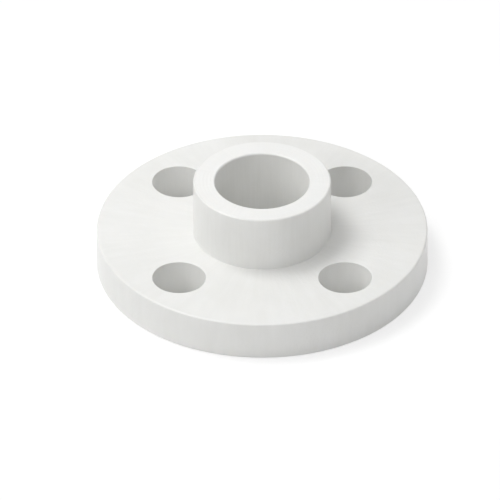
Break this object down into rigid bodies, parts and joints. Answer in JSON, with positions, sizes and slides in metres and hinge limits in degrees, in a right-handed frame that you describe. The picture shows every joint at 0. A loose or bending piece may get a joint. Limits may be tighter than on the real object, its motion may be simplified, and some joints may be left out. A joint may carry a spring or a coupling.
{
  "type": "plastic pipe flange",
  "caption": "Round moulded plastic pipe flange with a raised hub, a tapered pipe socket, bolt holes through the disc and concentric sealing grooves.",
  "frame": {"origin": "centre of the sealing face, on the bore's axis", "axes": "+Z along the bore, from the sealing face to the hub's open end; the bolt holes straddle the X and Y axes"},
  "size_m": [0.0984, 0.0984, 0.0299],
  "materials": {
    "white_pvc": "satin moulded rigid PVC"
  },
  "bodies": {
    "root": {"flange": "white_pvc"}
  },
  "joints": []
}
